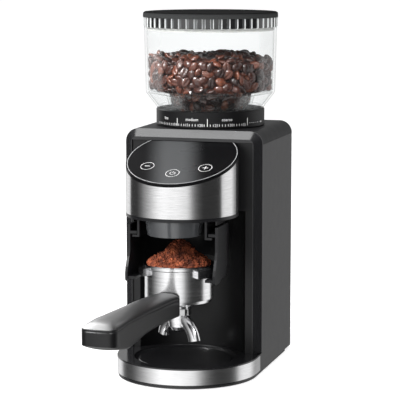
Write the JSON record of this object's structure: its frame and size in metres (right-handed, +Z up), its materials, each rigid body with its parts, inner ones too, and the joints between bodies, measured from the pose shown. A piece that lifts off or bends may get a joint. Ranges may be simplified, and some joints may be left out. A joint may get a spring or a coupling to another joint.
{
  "type": "burr coffee grinder",
  "caption": "Upright burr coffee grinder: round clear bean hopper over a dark tower, slanted touch head, open bay with a loaded portafilter in a cradle.",
  "frame": {"origin": "on the standing surface, at the centre of the round front of the base", "axes": "+Z up, -Y towards the user, +X to the right of a person facing the front"},
  "size_m": [0.136, 0.3716, 0.344],
  "materials": {
    "satin_black": "satin",
    "gloss_black": "gloss",
    "clear": "clear",
    "brushed": "brushed",
    "polished": "polished",
    "steel": "machined",
    "zinc_screw": "plated",
    "bearing_steel": "ground",
    "rubber": "matt",
    "silicone": "matt",
    "white_plastic": "satin",
    "grey_plastic": "satin",
    "circuit_board": "gloss",
    "component": "gloss",
    "can_steel": "plated",
    "ferrite": "matt",
    "lamination": "wound",
    "aluminium": "cast",
    "beans": "oily",
    "grounds": "rough"
  },
  "bodies": {
    "housing": {"base_band": "brushed", "base_deck": "gloss_black", "base_pan": "satin_black", "bay_liner": "satin_black", "board_components": "component", "brush_cap": "white_plastic", "burr_chamber": "grey_plastic", "collar_screws": "zinc_screw", "cord_gland": "rubber", "front_bezel": "satin_black", "gearbox_base": "grey_plastic", "gearbox_cover": "grey_plastic", "gearbox_screws": "zinc_screw", "grounds_chute": "grey_plastic", "head_band": "brushed", "head_shell": "satin_black", "idler_pin": "bearing_steel", "interlock_switch": "component", "lower_bearing": "bearing_steel", "main_shell": "satin_black", "motor_can": "can_steel", "motor_magnets": "ferrite", "motor_screws": "zinc_screw", "outlet_nozzle": "satin_black", "pan_screws": "zinc_screw", "panel_trim": "polished", "power_board": "circuit_board", "rubber_feet": "rubber", "scale_collar": "satin_black", "top_cover": "satin_black", "touch_board": "circuit_board", "touch_panel": "gloss_black", "upper_bearing": "bearing_steel"},
    "lid": {"lid_cap": "satin_black", "lid_grip_ring": "clear", "lid_seal": "silicone"},
    "hopper": {"hopper": "clear", "coffee_beans": "beans"},
    "adjuster": {"adjust_ring": "white_plastic"},
    "upper_burr": {"burr_carrier": "aluminium", "ring_burr": "steel", "ring_burr_screws": "zinc_screw"},
    "burr_shaft": {"drive_shaft": "bearing_steel", "cone_burr": "steel", "grounds_sweeper": "white_plastic", "burr_nut": "steel", "output_gear": "steel"},
    "idler": {"idler_gear": "white_plastic"},
    "motor_rotor": {"motor_shaft": "bearing_steel", "armature": "lamination", "motor_pinion": "steel"},
    "cradle": {"portafilter_cradle": "satin_black"},
    "portafilter": {"portafilter_cup": "polished", "filter_basket": "polished", "ground_coffee": "grounds", "portafilter_handle": "satin_black", "handle_stud": "steel", "twin_spout": "polished"},
    "tray": {"tray_mat": "rubber"},
    "plunger": {"switch_plunger": "white_plastic"}
  },
  "joints": [
    {"name": "lid_lift", "type": "slide", "parent": "hopper", "child": "lid", "axis": [0, 0, 1], "range_m": [0, 0.05]},
    {"name": "hopper_lift", "type": "slide", "parent": "adjuster", "child": "hopper", "axis": [0, 0, 1], "range_m": [0, 0.08]},
    {"name": "grind_setting", "type": "hinge", "parent": "housing", "child": "adjuster", "pos_m": [0, 0.0768, 0.2291], "axis": [0, 0, 1], "range_deg": [-45, 75]},
    {"name": "upper_burr_height", "type": "slide", "parent": "housing", "child": "upper_burr", "axis": [0, 0, 1], "range_m": [-0.0007, 0.0011]},
    {"name": "motor_spin", "type": "hinge", "parent": "housing", "child": "motor_rotor", "pos_m": [0, 0.095, 0.108], "axis": [0, 0, 1], "continuous": true},
    {"name": "idler_spin", "type": "hinge", "parent": "housing", "child": "idler", "pos_m": [0.024, 0.0948, 0.149], "axis": [0, 0, 1], "continuous": true},
    {"name": "burr_spin", "type": "hinge", "parent": "housing", "child": "burr_shaft", "pos_m": [0, 0.0768, 0.18], "axis": [0, 0, 1], "continuous": true},
    {"name": "cradle_slide", "type": "slide", "parent": "housing", "child": "cradle", "axis": [0, -1, 0], "range_m": [0, 0.085]},
    {"name": "portafilter_slide", "type": "slide", "parent": "cradle", "child": "portafilter", "axis": [0, -1, 0], "range_m": [0, 0.11]},
    {"name": "mat_lift", "type": "slide", "parent": "housing", "child": "tray", "axis": [0, 0, 1], "range_m": [0, 0.014]},
    {"name": "interlock_press", "type": "slide", "parent": "housing", "child": "plunger", "axis": [0, 0, -1], "range_m": [0, 0.0008], "stiffness_N_per_m": 400, "springref_m": -0.001}
  ],
  "couplings": [
    {"joint": "upper_burr_height", "follows": "grind_setting", "m_per_rad": 0.000764},
    {"joint": "idler_spin", "follows": "motor_spin", "ratio": -0.33333},
    {"joint": "burr_spin", "follows": "motor_spin", "ratio": 0.10145}
  ]
}
